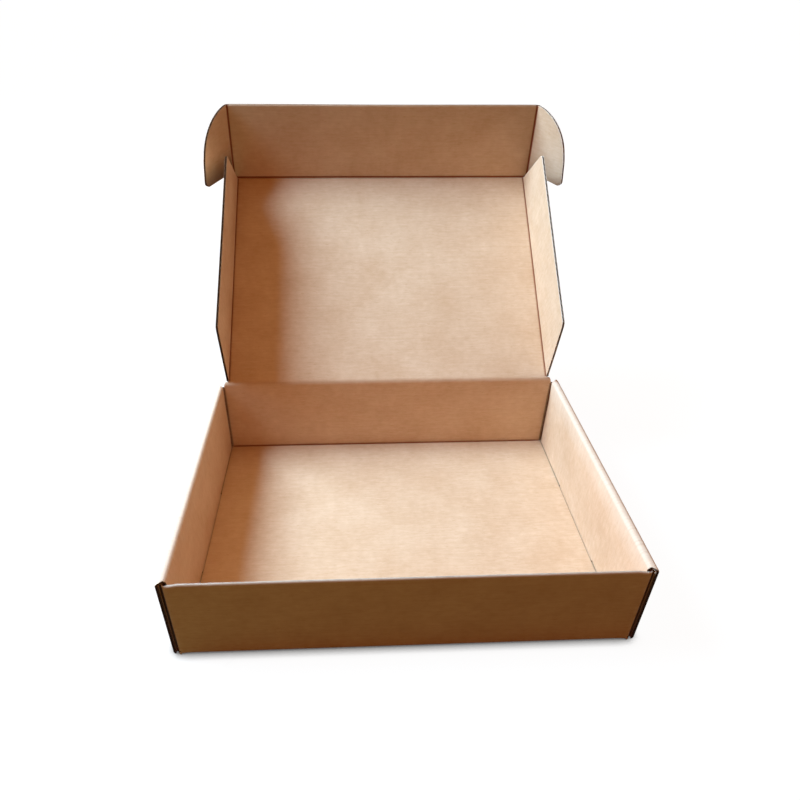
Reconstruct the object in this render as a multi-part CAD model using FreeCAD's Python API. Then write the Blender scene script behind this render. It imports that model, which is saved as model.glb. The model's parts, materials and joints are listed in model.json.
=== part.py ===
"""Open corrugated mailer box: one folded sheet, split only where a flap swings.

Millimetres, +Z up, +Y towards the lid hinge, origin at the middle of the
tray's underside.  Left and right are as seen from the front of the box.
"""
import FreeCAD, Part
import math
import os

Vector = FreeCAD.Vector
X_AXIS, Y_AXIS, Z_AXIS = Vector(1, 0, 0), Vector(0, 1, 0), Vector(0, 0, 1)
ORIGIN = Vector(0, 0, 0)

# ---- board ---------------------------------------------------------------
BOARD = 2.4                 # thickness of the B-flute board
PLY_GAP = 0.2               # air left between plies that lie against each other
BEND = 0.5                  # inside radius of a fold in the tray

# ---- tray ----------------------------------------------------------------
TRAY_WIDTH = 350.0          # over the outer side walls
TRAY_DEPTH = 250.0          # over the front and back walls
TRAY_HEIGHT = 80.0          # to the top of the roll-over side walls
FRONT_WALL_DROP = 2.0       # front wall's top below the side walls'
CORNER_FLAP_CLEARANCE = 1.1  # over the corner flaps, inside the side walls
CORNER_FLAP_LENGTH = 70.0
SIDE_WALL_SETBACK = 0.6     # outer side wall's end, behind the front wall's face
LOCK_TAB_WIDTH = 98.0       # tab under each inner side panel
LOCK_SLOT_CLEARANCE = 0.4   # air all round a lock tab in its slot

# ---- lid and its flaps ---------------------------------------------------
LID_CLEARANCE = 0.2         # closed lid above the side walls
TUCK_CLEARANCE = 0.6        # closed tuck flap behind the front wall
TUCK_FLOOR_CLEARANCE = 1.4  # closed tuck flap above the floor
TUCK_LEAN = 14.0            # degrees past square, when closed
TUCK_TAPER = 2.5            # degrees, each side of the tuck flap
EAR_REACH = 50.0            # from its crease to its furthest point
EAR_START = 5.0             # lower edge of an ear, from the lid crease
EAR_HOOK_RADIUS = 7.0
MOST_OF_EDGE = 0.9          # share of a straight edge that a round corner may take
EAR_SIDE_CLEARANCE = 0.25   # closed ear inside the side wall
DUST_FLOOR_CLEARANCE = 4.8  # closed dust flap above the floor
DUST_REAR_CUT = 26.0        # how far the rear taper runs along the crease
DUST_FRONT_CUT = 27.0       # how far the front mitre runs along the crease
DUST_SIDE_CLEARANCE = 1.2   # between a closed dust flap and the ear beside it
CORNER_RADIUS = 1.5         # free corners of the flaps

# ---- hinge creases -------------------------------------------------------
LID_CREASE_GAP = 0.5        # between a flap's round root and the panel that carries it
TUCK_CREASE_GAP = 0.6
EAR_CREASE_GAP = 0.3
DUST_CREASE_DEPTH = 0.4     # dust hinge line below the lid's inner face
DUST_CREASE_SPACE = 0.3
DUST_CRUSH_WIDTH = 2.1      # crushed bevel beside a dust flap's crease
DUST_CRUSH_DEPTH = 1.0
CREASE_END = 3.0            # hinge lines stop this far from a panel's corner

# ---- how far each panel stands open, as it rests -------------------------
LID_OPEN = 141.5            # degrees, from closed
TUCK_FOLD = 64.0            # from flat
LEFT_EAR_FOLD = 63.0
RIGHT_EAR_FOLD = 57.0
DUST_FOLD_UNTAPERED = 89.5  # the tuck flap's taper is added, so that the ears nest outside

# ---- worked out ----------------------------------------------------------
HALF_BOARD = BOARD / 2
BEND_MIDDLE = BEND + HALF_BOARD                       # radius at mid-board
FRONT_WALL_HEIGHT = TRAY_HEIGHT - FRONT_WALL_DROP
CORNER_FLAP_HEIGHT = TRAY_HEIGHT - BOARD - CORNER_FLAP_CLEARANCE
HALF_WIDTH = TRAY_WIDTH / 2
HALF_DEPTH = TRAY_DEPTH / 2
CORNER_FLAP_FACE = HALF_WIDTH - BOARD - PLY_GAP       # outer face of a corner flap
INNER_FACE = CORNER_FLAP_FACE - 2 * BOARD - PLY_GAP   # tray's inside, at each side
WALL_FLAT = CORNER_FLAP_FACE - BOARD - BEND           # flat half width of front and back
PANEL_END = HALF_DEPTH - BOARD - PLY_GAP              # ends of the inner side panels
HINGE_Y = HALF_DEPTH - HALF_BOARD
HINGE_Z = TRAY_HEIGHT + LID_CLEARANCE + HALF_BOARD
HINGE_HALF_LENGTH = INNER_FACE - PLY_GAP
LID_LENGTH = HINGE_Y + HALF_DEPTH - BOARD - TUCK_CLEARANCE - HALF_BOARD
TUCK_HEIGHT = (HINGE_Z - BOARD - TUCK_FLOOR_CLEARANCE) / math.cos(math.radians(TUCK_LEAN))
DUST_HEIGHT = TRAY_HEIGHT + LID_CLEARANCE - BOARD - DUST_FLOOR_CLEARANCE
EAR_LINE = INNER_FACE - EAR_SIDE_CLEARANCE - HALF_BOARD + EAR_START * math.tan(
    math.radians(TUCK_TAPER))                         # ear crease, at the lid crease
DUST_LINE = EAR_LINE - HALF_BOARD - DUST_SIDE_CLEARANCE - (BOARD - DUST_CREASE_DEPTH)
LID_ANGLE = 180.0 - LID_OPEN                          # lid above the horizontal, backwards
DUST_FOLD = DUST_FOLD_UNTAPERED + TUCK_TAPER


# ---- outlines ------------------------------------------------------------
def corner_points(before, corner, after, radius):
    """Start, middle and end of the arc that rounds a corner."""
    to_before = (before - corner).normalize()
    to_after = (after - corner).normalize()
    half_angle = to_before.getAngle(to_after) / 2
    tangent = radius / math.tan(half_angle)
    middle_way = (to_before + to_after).normalize()
    centre = corner + middle_way * (radius / math.sin(half_angle))
    return (corner + to_before * tangent, centre - middle_way * radius,
            corner + to_after * tangent)


def rounded_edges(points, radii, closed):
    """Straight runs through the points, with arcs of the given radii at them."""
    count = len(points)
    arcs = []
    for index, radius in enumerate(radii):
        is_end = not closed and index in (0, count - 1)
        if radius <= 0 or is_end:
            arcs.append((points[index], None, points[index]))
        else:
            arcs.append(corner_points(points[index - 1], points[index],
                                      points[(index + 1) % count], radius))
    edges = []
    for index, (start, middle, end) in enumerate(arcs):
        if middle is not None:
            edges.append(Part.Arc(start, middle, end).toShape())
        following = (index + 1) % count
        if following or closed:
            edges.append(Part.makeLine(end, arcs[following][0]))
    return edges


def prism(points, radii, sweep):
    """Solid swept from a closed outline with rounded corners."""
    wire = Part.Wire(Part.__sortEdges__(rounded_edges(points, radii, closed=True)))
    return Part.Face(wire).extrude(sweep)


def offset_path(points, distance, normal):
    """Path moved sideways by a distance, in the plane with this normal."""
    moved = []
    for index, point in enumerate(points):
        sides = []
        for first, second in ((index - 1, index), (index, index + 1)):
            if first >= 0 and second < len(points):
                run = (points[second] - points[first]).normalize()
                sides.append(normal.cross(run))
        side = sides[0] + sides[-1]
        moved.append(point + side * (2 * distance / side.dot(side)))
    return moved


def folded_board(points, normal, sweep):
    """Board bent along a path of mid-board points, swept sideways."""
    radii = {}
    for sign in (1, -1):
        radii[sign] = []
        for index in range(len(points)):
            if index in (0, len(points) - 1):
                radii[sign].append(0)
                continue
            turn = (points[index] - points[index - 1]).cross(points[index + 1] - points[index])
            inside = 1 if turn.dot(normal) > 0 else -1
            radii[sign].append(BEND_MIDDLE - inside * sign * HALF_BOARD)
    left = offset_path(points, HALF_BOARD, normal)
    right = offset_path(points, -HALF_BOARD, normal)
    edges = rounded_edges(left, radii[1], closed=False)
    edges += rounded_edges(right, radii[-1], closed=False)
    edges.append(Part.makeLine(left[0], right[0]))
    edges.append(Part.makeLine(left[-1], right[-1]))
    wire = Part.Wire(Part.__sortEdges__(edges))
    return Part.Face(wire).extrude(sweep)


def block(x_range, y_range, z_range):
    """Box between pairs of coordinates."""
    low = Vector(x_range[0], y_range[0], z_range[0])
    size = Vector(x_range[1], y_range[1], z_range[1]) - low
    return Part.makeBox(size.x, size.y, size.z, low)


def both_sides(shape, normal):
    """A shape and its mirror image."""
    return [shape, shape.mirror(ORIGIN, normal)]


# ---- tray ----------------------------------------------------------------
def side_walls():
    """Floor with both roll-over walls: up, over and down to the floor again."""
    wall_x = HALF_WIDTH - HALF_BOARD
    panel_x = INNER_FACE + HALF_BOARD
    top_z = TRAY_HEIGHT - HALF_BOARD
    panel_foot = BOARD + PLY_GAP
    half = [(panel_x, panel_foot), (panel_x, top_z), (wall_x, top_z), (wall_x, HALF_BOARD)]
    outline = [(-x, z) for x, z in half] + [(x, z) for x, z in reversed(half)]
    end_y = HALF_DEPTH - SIDE_WALL_SETBACK
    path = [Vector(x, -end_y, z) for x, z in outline]
    walls = folded_board(path, Y_AXIS, Y_AXIS * (2 * end_y))
    outer_plane = HALF_WIDTH - BOARD
    panel_back = INNER_FACE + BOARD
    beyond = HALF_DEPTH + BOARD
    end_cut = [Vector(-outer_plane, -beyond, -BOARD), Vector(-outer_plane, -end_y, -BOARD),
               Vector(-panel_back, -PANEL_END, -BOARD), Vector(panel_back, -PANEL_END, -BOARD),
               Vector(outer_plane, -end_y, -BOARD), Vector(outer_plane, -beyond, -BOARD)]
    cutter = prism(end_cut, [0] * len(end_cut), Z_AXIS * (TRAY_HEIGHT + 2 * BOARD))
    for shape in both_sides(cutter, Y_AXIS):
        walls = walls.cut(shape)
    return walls


def front_and_back_walls():
    """Floor with the single front wall and the back wall that carries the lid."""
    wall_y = HALF_DEPTH - HALF_BOARD
    outline = [(-wall_y, FRONT_WALL_HEIGHT), (-wall_y, HALF_BOARD), (wall_y, HALF_BOARD),
               (wall_y, HINGE_Z - HALF_BOARD - LID_CREASE_GAP)]
    path = [Vector(-WALL_FLAT, y, z) for y, z in outline]
    return folded_board(path, X_AXIS, X_AXIS * (2 * WALL_FLAT))


def corner_flaps():
    """Four flaps turned back from the front and back walls into the side walls."""
    wall_y = HALF_DEPTH - HALF_BOARD
    flap_x = CORNER_FLAP_FACE - HALF_BOARD
    foot_z = BOARD + BEND + PLY_GAP
    overlap = BOARD
    path = [Vector(WALL_FLAT - overlap, -wall_y, foot_z), Vector(flap_x, -wall_y, foot_z),
            Vector(flap_x, CORNER_FLAP_LENGTH - HALF_DEPTH, foot_z)]
    flap = folded_board(path, Z_AXIS, Z_AXIS * (CORNER_FLAP_HEIGHT - foot_z))
    flaps = []
    for shape in both_sides(flap, X_AXIS):
        flaps += both_sides(shape, Y_AXIS)
    return flaps


def make_tray():
    """Tray: one piece of board, with each inner panel's tab down through the floor."""
    half_tab = LOCK_TAB_WIDTH / 2
    half_slot = half_tab + LOCK_SLOT_CLEARANCE
    slot = block((INNER_FACE - LOCK_SLOT_CLEARANCE, INNER_FACE + BOARD + LOCK_SLOT_CLEARANCE),
                 (-half_slot, half_slot), (-BOARD, BOARD + PLY_GAP / 2))
    tab = block((INNER_FACE, INNER_FACE + BOARD), (-half_tab, half_tab),
                (PLY_GAP, 2 * BOARD))
    tray = side_walls().fuse([front_and_back_walls()] + corner_flaps())
    for shape in both_sides(slot, X_AXIS):
        tray = tray.cut(shape)
    tray = tray.fuse(both_sides(tab, X_AXIS))
    return tray.removeSplitter()


# ---- lid, modelled flat: X across, Y away from the hinge, Z to the inside ----
def nose(half_length, centre, direction):
    """Round root of a panel, on its hinge line."""
    return Part.makeCylinder(HALF_BOARD, 2 * half_length, centre - direction * half_length,
                             direction)


def flat_panel(outline, radii):
    """Flat board with the given outline, mid-board at height nought."""
    points = [Vector(x, y, -HALF_BOARD) for x, y in outline]
    return prism(points, radii, Z_AXIS * BOARD)


def make_flat_lid():
    """Lid panel, with crushed bevels where the dust flaps fold over it."""
    side_x = DUST_LINE - DUST_CREASE_SPACE
    front_y = LID_LENGTH - HALF_BOARD - TUCK_CREASE_GAP
    half = [(HINGE_HALF_LENGTH, 0.0), (HINGE_HALF_LENGTH, HALF_BOARD), (side_x, CREASE_END),
            (side_x, front_y)]
    outline = half + [(-x, y) for x, y in reversed(half)]
    lid = flat_panel(outline, [0] * len(outline))
    lid = lid.fuse(nose(HINGE_HALF_LENGTH, ORIGIN, X_AXIS))
    top = HALF_BOARD
    over = BOARD
    slope = DUST_CRUSH_WIDTH / DUST_CRUSH_DEPTH
    bevel = [Vector(side_x, 0, top - DUST_CRUSH_DEPTH),
             Vector(side_x - DUST_CRUSH_WIDTH - over * slope, 0, top + over),
             Vector(side_x + over, 0, top + over),
             Vector(side_x + over, 0, top - DUST_CRUSH_DEPTH)]
    wedge = prism(bevel, [0] * len(bevel), Y_AXIS * (front_y + over))
    wedge.translate(Y_AXIS * CREASE_END)
    for shape in both_sides(wedge, X_AXIS):
        lid = lid.cut(shape)
    return lid.removeSplitter()


def make_flat_tuck():
    """Front tuck flap, a little narrower towards its free edge."""
    taper = math.tan(math.radians(TUCK_TAPER))
    edge_x = EAR_LINE - HALF_BOARD - EAR_CREASE_GAP
    root_x = DUST_LINE - DUST_CREASE_SPACE
    half = [(root_x, 0.0), (root_x, HALF_BOARD), (edge_x - taper * CREASE_END, CREASE_END),
            (edge_x - taper * TUCK_HEIGHT, TUCK_HEIGHT)]
    outline = half + [(-x, y) for x, y in reversed(half)]
    radii = [0, 0, 0, CORNER_RADIUS]
    flap = flat_panel(outline, radii + radii[::-1])
    return flap.fuse(nose(root_x, ORIGIN, X_AXIS)).removeSplitter()


def make_flat_ear():
    """Right ear: a quarter round with a hooked tip.  X from its crease, Y along it."""
    centre_y = TUCK_HEIGHT - CORNER_RADIUS - EAR_REACH
    tip_y = EAR_START
    end_y = TUCK_HEIGHT - CORNER_RADIUS
    diagonal = EAR_REACH * math.sqrt(0.5)
    level = -HALF_BOARD
    start, middle = Vector(0, end_y, level), Vector(diagonal, centre_y + diagonal, level)
    side = Vector(EAR_REACH, centre_y, level)
    tip = Vector(EAR_REACH, tip_y, level)
    root = Vector(0, tip_y, level)
    hook_radius = min(EAR_HOOK_RADIUS, MOST_OF_EDGE * (centre_y - tip_y))
    hook = corner_points(side, tip, root, hook_radius)
    edges = [Part.Arc(start, middle, side).toShape(), Part.makeLine(side, hook[0]),
             Part.Arc(*hook).toShape(), Part.makeLine(hook[2], root),
             Part.makeLine(root, start)]
    ear = Part.Face(Part.Wire(edges)).extrude(Z_AXIS * BOARD)
    half_length = (end_y - tip_y) / 2
    return ear.fuse(nose(half_length, Y_AXIS * (tip_y + half_length), Y_AXIS)).removeSplitter()


def make_flat_dust_flap():
    """Right dust flap.  X from its hinge line, which lies just under its inner face."""
    below = BOARD - DUST_CREASE_DEPTH
    above = DUST_CREASE_DEPTH
    root_start, root_end = CREASE_END + PLY_GAP, LID_LENGTH - CREASE_END
    length = root_end - root_start
    section = [Part.makeLine(Vector(0, root_start, -below), Vector(DUST_HEIGHT, root_start, -below)),
               Part.makeLine(Vector(DUST_HEIGHT, root_start, -below),
                             Vector(DUST_HEIGHT, root_start, above)),
               Part.makeLine(Vector(DUST_HEIGHT, root_start, above), Vector(0, root_start, above)),
               quarter_arc(above, root_start, 1),
               Part.makeLine(Vector(-above, root_start, 0), Vector(-below, root_start, 0)),
               quarter_arc(below, root_start, -1)]
    flap = Part.Face(Part.Wire(Part.__sortEdges__(section))).extrude(Y_AXIS * length)
    outline = [Vector(-BOARD, root_start, -BOARD), Vector(0, root_start, -BOARD),
               Vector(DUST_HEIGHT, root_start + DUST_REAR_CUT, -BOARD),
               Vector(DUST_HEIGHT, root_end - DUST_FRONT_CUT, -BOARD),
               Vector(0, root_end, -BOARD), Vector(-BOARD, root_end, -BOARD)]
    radii = [0, 0, CORNER_RADIUS, CORNER_RADIUS, 0, 0]
    return flap.common(prism(outline, radii, Z_AXIS * (2 * BOARD))).removeSplitter()


def quarter_arc(radius, y, side):
    """Quarter round behind the dust hinge line, above it (1) or below it (-1)."""
    middle = radius * math.sqrt(0.5)
    return Part.Arc(Vector(0, y, side * radius), Vector(-middle, y, side * middle),
                    Vector(-radius, y, 0)).toShape()


# ---- unfolding the lid into place ----------------------------------------
def place_on_tray(shape):
    """Stand lid pieces up from the hinge at the back wall."""
    shape.rotate(ORIGIN, X_AXIS, LID_ANGLE)
    shape.translate(Vector(0, HINGE_Y, HINGE_Z))
    return shape


def place_on_lid(shape):
    """Fold tuck flap pieces up from the lid's front crease."""
    shape.rotate(ORIGIN, X_AXIS, TUCK_FOLD)
    shape.translate(Y_AXIS * LID_LENGTH)
    return shape


def place_ear(side, fold):
    """Ear on the left (-1) or right (1) edge of the tuck flap."""
    ear = make_flat_ear()
    ear.rotate(ORIGIN, Y_AXIS, -fold)
    ear.rotate(ORIGIN, Z_AXIS, TUCK_TAPER)
    ear.translate(X_AXIS * EAR_LINE)
    if side < 0:
        ear = ear.mirror(ORIGIN, X_AXIS)
    return place_on_tray(place_on_lid(ear))


def place_dust_flap(side):
    """Dust flap on the left (-1) or right (1) edge of the lid."""
    flap = make_flat_dust_flap()
    flap.rotate(ORIGIN, Y_AXIS, -DUST_FOLD)
    flap.translate(Vector(DUST_LINE, 0, HALF_BOARD - DUST_CREASE_DEPTH))
    if side < 0:
        flap = flap.mirror(ORIGIN, X_AXIS)
    return place_on_tray(flap)


def make_parts():
    """Every node of the box, by name."""
    return {
        "tray": make_tray(),
        "lid": place_on_tray(make_flat_lid()),
        "tuck_flap": place_on_tray(place_on_lid(make_flat_tuck())),
        "left_ear": place_ear(-1, LEFT_EAR_FOLD),
        "right_ear": place_ear(1, RIGHT_EAR_FOLD),
        "left_dust_flap": place_dust_flap(-1),
        "right_dust_flap": place_dust_flap(1),
    }


os.makedirs("parts", exist_ok=True)
for name, shape in make_parts().items():
    solid = shape.Solids[0] if len(shape.Solids) == 1 else shape
    solid.exportStep(os.path.join("parts", name + ".step"))
    box = solid.BoundBox
    print(name, len(shape.Solids), "solid", "valid" if solid.isValid() else "NOT VALID",
          "volume %.0f" % solid.Volume,
          "x %.1f..%.1f y %.1f..%.1f z %.1f..%.1f" % (box.XMin, box.XMax, box.YMin, box.YMax,
                                                      box.ZMin, box.ZMax))
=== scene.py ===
"""Looks of an open corrugated mailer box: layered fluted board, kraft paper, floor, light and camera.

Metres, +Z up, +Y towards the lid hinge, left and right as seen from the front.  Every panel is
two liners with a fluted paper between them.  Places on the board are given on the flat blank:
a runs along the flutes, b across them, and w stands up from the middle of the board, towards
the face that is inside the box when it is shut.
"""
import bmesh
import bpy
import json
import math
import numpy as np
from mathutils import Matrix, Vector


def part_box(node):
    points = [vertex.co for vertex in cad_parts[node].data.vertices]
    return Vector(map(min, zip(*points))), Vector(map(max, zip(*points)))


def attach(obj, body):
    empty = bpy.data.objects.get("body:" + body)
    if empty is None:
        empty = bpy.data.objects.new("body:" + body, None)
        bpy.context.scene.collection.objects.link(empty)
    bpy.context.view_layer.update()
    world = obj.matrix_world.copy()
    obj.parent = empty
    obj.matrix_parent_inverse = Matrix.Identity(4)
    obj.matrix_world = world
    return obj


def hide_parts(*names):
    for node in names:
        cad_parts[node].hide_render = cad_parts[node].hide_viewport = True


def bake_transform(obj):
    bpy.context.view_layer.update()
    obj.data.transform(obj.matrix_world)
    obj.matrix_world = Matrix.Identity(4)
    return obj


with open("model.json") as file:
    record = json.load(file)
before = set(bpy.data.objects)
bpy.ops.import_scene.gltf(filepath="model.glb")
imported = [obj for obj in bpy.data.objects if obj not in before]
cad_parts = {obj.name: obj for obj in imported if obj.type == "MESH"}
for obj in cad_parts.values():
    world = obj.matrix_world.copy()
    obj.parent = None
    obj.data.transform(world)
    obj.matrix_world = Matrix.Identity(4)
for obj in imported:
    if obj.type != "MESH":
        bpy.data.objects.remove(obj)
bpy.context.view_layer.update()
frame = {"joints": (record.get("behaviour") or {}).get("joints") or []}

MM = 0.001
TOLERANCE = 1e-7                 # for comparing places on the blank
QUARTER_TURN = math.pi / 2
SIDES = (-1, 1)                  # left and right, or front and back
WORDS = {-1: "left", 1: "right"}

# ---- board
BOARD = 2.4 * MM
HALF = BOARD / 2
LINER = 0.3 * MM
FLUTE_PAPER = 0.22 * MM
FLUTE_PITCH = 6.35 * MM
LINER_SAG = 0.04 * MM            # of a liner between two flute tips
TIP_GAP = 0.01 * MM              # between a flute's tip and its liner
PLY_GAP = 0.2 * MM               # between plies that lie against each other
FOLD_RADIUS = 1.7 * MM           # of the middle of the board, at the tray's folds
FOLD_REACH = 2.2 * MM            # crushed width, each side of a fold
FOLD_CRUSH = 0.45                # share of the flutes' height lost in a fold
CUT_REACH = 3 * MM               # frayed width beside a cut edge
CUT_CRUSH = 0.2                  # the same at a cut edge
PINCH_REACH = 1.7 * MM           # where an edge cut along the flutes is pressed shut
CUT_STEPS = np.array([0, 0.35, 0.9, 1.8]) * MM   # rows of points beside a cut edge
LINER_STEP = FLUTE_PITCH / 3     # rows of points in a liner, and in the wavy paper
FLUTE_STEP = FLUTE_PITCH / 8
WELD = 0.002 * MM                # points nearer than this are joined
SHARP_ANGLE = math.radians(35)   # faces that meet at more than this keep a sharp edge
UV_SCALE = 10.0                  # texture units in a metre

# ---- tray, from its box
HALF_WIDTH, HALF_DEPTH, TRAY_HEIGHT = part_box("tray")[1]
FRONT_DROP = 2 * MM              # front wall's top below the side walls'
FLAP_DROP = 1.5 * MM             # corner flaps' top below the front wall's
FLAP_FOOT = 3.1 * MM             # lower edge of the corner flaps
FLAP_LENGTH = 70 * MM
SIDE_SETBACK = 0.6 * MM          # outer side wall's end behind the front wall's face
HALF_TAB = 49 * MM               # half width of a lock tab
SLOT_AIR = 0.4 * MM              # air round a lock tab in its slot
HALF_SLOT = HALF_TAB + SLOT_AIR
SLOT_ROWS = (-HALF_SLOT, -HALF_TAB, HALF_TAB, HALF_SLOT)
WALL_X = HALF_WIDTH - HALF       # middle of the board in each wall
FLAP_X = WALL_X - BOARD - PLY_GAP
PANEL_X = FLAP_X - BOARD - PLY_GAP
WALL_Y = HALF_DEPTH - HALF
FLOOR_X = WALL_X - FOLD_RADIUS   # flat part of the floor
FLOOR_Y = WALL_Y - FOLD_RADIUS
FLAP_RADIUS = 1.0 * MM           # sharper folds between the end walls and the corner flaps
CORNER_INSET = 1.4 * MM          # an end wall's corner stands in from its flap's line
WALL_FLAT = FLAP_X - CORNER_INSET - FLAP_RADIUS  # flat half width of the end walls
SLOT_IN = PANEL_X - HALF - SLOT_AIR              # inner and outer side of a slot
SLOT_OUT = PANEL_X + HALF + SLOT_AIR
SIDE_END = HALF_DEPTH - SIDE_SETBACK
FOOT = BOARD + 1.1 * MM          # lower edge of the inner side panels
FOLD_ARC = FOLD_RADIUS * QUARTER_TURN
WALL_ROOT = 0.25 * FOLD_ARC      # where the slit beside an outer wall's end starts
SEAM = SLOT_IN - 0.5 * MM        # dark joint between the floor and an inner panel
CORNER_DARK = SLOT_IN - 1.8 * MM  # where the painted shade in a back corner starts
TONGUE_FOOT = 0.8 * MM           # lower end of the tongue at a front or back corner
TONGUE = 2.3 * MM                # its length round the fold
PANEL_SETBACK = 2.2 * MM         # ends of the inner side panels, from the outer wall's
FLOOR_COLUMNS = np.linspace(-160, 160, 9) * MM
FLOOR_BOW = 0.45                 # rise of the floor's middle, in millimetres
PANEL_BOW = 0.6                  # bulge of an inner side panel, in millimetres

# Painted light on the tray's paper: above nought painted highlight, below it painted shade; only the
# floor's joint is a real dark joint.
RIM_PAINTED_HIGHLIGHT = 0.6                   # top of a side wall: painted highlight
TOP_PAINTED_HIGHLIGHT = 0.9                   # pressed top of the front wall and the corner flaps: painted highlight
OUTER_END_PAINTED_SHADE = -0.9            # ends of the outer side walls: painted shade in the corner gaps
INNER_END_PAINTED_SHADE = -0.55           # ends of the inner side panels: painted shade at the corners
JOINT_TONE = -0.35               # floor beside the inner side panels
BACK_CORNER_PAINTED_SHADE = -0.6          # back wall beside them: painted shade in its corners
GAP_PAINTED_SHADE = -0.95                 # corner flaps past their folds: painted shade in the gap inside the side wall

# ---- lid and its flaps, from the hinges
joints = {joint["name"]: joint for joint in frame["joints"]}


def pivot(name):
    """Middle of a joint's hinge line."""
    return np.array(joints[name]["pos_m"])


X_AXIS = np.array([1.0, 0, 0])
HINGE = pivot("lid_hinge")
TUCK_HINGE = pivot("tuck_hinge")
LID_LENGTH = np.linalg.norm(TUCK_HINGE - HINGE)
LID_ALONG = (TUCK_HINGE - HINGE) / LID_LENGTH
LID_UP = np.cross(X_AXIS, LID_ALONG)
EAR_AXIS = np.array(joints["right_ear_hinge"]["axis"])
TUCK_TAPER = math.asin(-EAR_AXIS[0])
TUCK_ALONG = (EAR_AXIS - X_AXIS * EAR_AXIS[0]) / math.cos(TUCK_TAPER)
TUCK_UP = np.cross(X_AXIS, TUCK_ALONG)
EAR_MIDDLE = pivot("right_ear_hinge")
EAR_HALF_WAY = (EAR_MIDDLE - TUCK_HINGE) @ EAR_AXIS + EAR_MIDDLE[0] * math.sin(TUCK_TAPER)
EAR_START = 5 * MM               # along the ear's crease, from the tuck crease
TUCK_HEIGHT = 2 * EAR_HALF_WAY - EAR_START + 1.5 * MM
TUCK_BOW = 0.8 * MM
LID_BOW = 0.9 * MM
EAR_ROOT = 3.6 * MM              # where the slit below an ear ends
EAR_LOWER = 8 * MM               # straight lower edge of an ear
EAR_END = TUCK_HEIGHT - 0.2 * MM
EAR_REACH = 47 * MM
EAR_HOOK = 6.5 * MM              # radius of its lower tip
EAR_FLARE = 3.6 * MM             # further reach at the hooked tip
EAR_SLANT = {-1: 1.4 * MM, 1: 0.3 * MM}          # rise of the lower edge out to the tip
EAR_SHADE = {-1: 0.8, 1: 0.15}   # painted shade on the lower tip's inner face
EAR_SHADE_TOP = EAR_LOWER + 34 * MM              # where it has faded out
EDGE_PAINTED_LIGHT = {-1: -0.2, 1: 0.9}   # of the outer edges: painted shade on the left (below nought), painted highlight on the right (above it)
EAR_FOLDS = {-1: math.radians(63), 1: math.radians(57)}  # from flat, as in the CAD model
EAR_BOW = 0.12 * MM              # small, since a shut ear lies between two other plies
EAR_CURL = 0.15 * MM             # lower tip bent outwards
DUST_FOLD = math.radians(92)     # the same for both dust flaps
DUST_MIDDLE = pivot("right_dust_flap_hinge")
DUST_LINE = DUST_MIDDLE[0]
DUST_RISE = (DUST_MIDDLE - HINGE) @ LID_UP       # dust hinge line over the middle of the lid
DUST_START = 2.2 * MM            # along the lid, from its hinge
DUST_END = LID_LENGTH - 2.3 * MM
DUST_HEIGHT = 73 * MM
DUST_BOW = 0.35 * MM             # inwards, so that the open flap clears the ears
DUST_REAR_CUT = 26 * MM
DUST_FRONT_CUT = 27 * MM
DUST_REAR = DUST_START + DUST_REAR_CUT           # where the full height starts
DUST_FRONT = DUST_END - DUST_FRONT_CUT           # and ends
DUST_ROUND = np.array([-1.4, 1.0, 2.4]) * MM     # points that round a corner
DUST_CORNERS = np.concatenate([DUST_REAR + DUST_ROUND, DUST_FRONT - DUST_ROUND[::-1]])
DUST_REAR_SLOPE = DUST_HEIGHT / DUST_REAR_CUT
DUST_FRONT_SLOPE = DUST_HEIGHT / DUST_FRONT_CUT
HINGE_STRIP = 4.6 * MM           # half width of the strip that bends at the lid hinge
FLAP_STRIP = 2.5 * MM            # the same at each flap's hinge
HINGE_RADIUS = 6 * MM            # of the middle of the board in each of these folds
TUCK_RADIUS = 1.6 * MM
FLAP_FOLD_RADIUS = 1.5 * MM
HINGE_HALF = SLOT_IN             # half width of the lid's hinge
BLANK_HINGE = FLOOR_Y + FOLD_ARC + HINGE[2] - HALF - FOLD_RADIUS
BLANK_TUCK = BLANK_HINGE + LID_LENGTH

# ---- light and floor
# Lamps: name, direction from the aim, distance, size, watts and colour.  The key is cool.
AIM = (0, 0.05, 0.1)
LAMPS = (("key", (-0.95, 0.2, 1.0), 1.35, 0.75, 43.0, (0.51, 0.76, 1.0)),
         ("overhead", (0.0, 0.35, 1.0), 1.6, 1.6, 6.0, (1.0, 0.85, 0.53)),
         ("low_left", (-1.0, 0.3, 0.05), 1.5, 0.3, 4.0, (1.0, 0.48, 0.22)),
         ("low_back", (-0.3, 1.0, 0.1), 1.5, 0.3, 4.0, (1.0, 0.48, 0.22)))
WARM_SKY = (0.262, 0.072, 0.002, 1)              # both are seen by the board, not the camera
FLOOR_BOUNCE = (0.12, 0.135, 0.055, 1)
WHITE = (1, 1, 1, 1)
FLOOR_REACH = 60.0
FLOOR_WHITE = 0.965              # near the box, rising to one further off
FLOOR_SHADOW = (0.07, 0.07, 0.07, 1)             # takes the faint cast shadow
CONTACT_REACH = 9 * MM           # of the painted contact shade where the object stands
# glow left in the deepest painted contact shade
CONTACT_WHITE = 0.12

# ---- camera, from the fit to the photo's corners
CAMERA_PLACE = (-0.03985, -0.40842, 0.41984)
CAMERA_TURN = math.radians(-2.842)
CAMERA_HEIGHT = math.radians(34.146)             # angle it looks down at
CAMERA_ROLL = math.radians(0.623)
CAMERA_LENS = 27.95
CAMERA_SHIFT = 0.03025


# ---- helpers
def bump(distance, reach):
    """One at distance nought, falling smoothly to nought at the reach."""
    return np.cos(np.clip(distance / reach, -1, 1) * QUARTER_TURN) ** 2


def ramp_line(value, start, end):
    """Share of the way from the start to the end, in a straight line."""
    return np.clip((value - start) / (end - start), 0, 1)


def ramp(value, start, end):
    """Nought before the start, one after the end, smooth between them."""
    share = ramp_line(value, start, end)
    return share * share * (3 - 2 * share)


def add_object(name, data):
    """An object that holds this data, put in the scene."""
    item = bpy.data.objects.new(name, data)
    bpy.context.scene.collection.objects.link(item)
    return item


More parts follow.
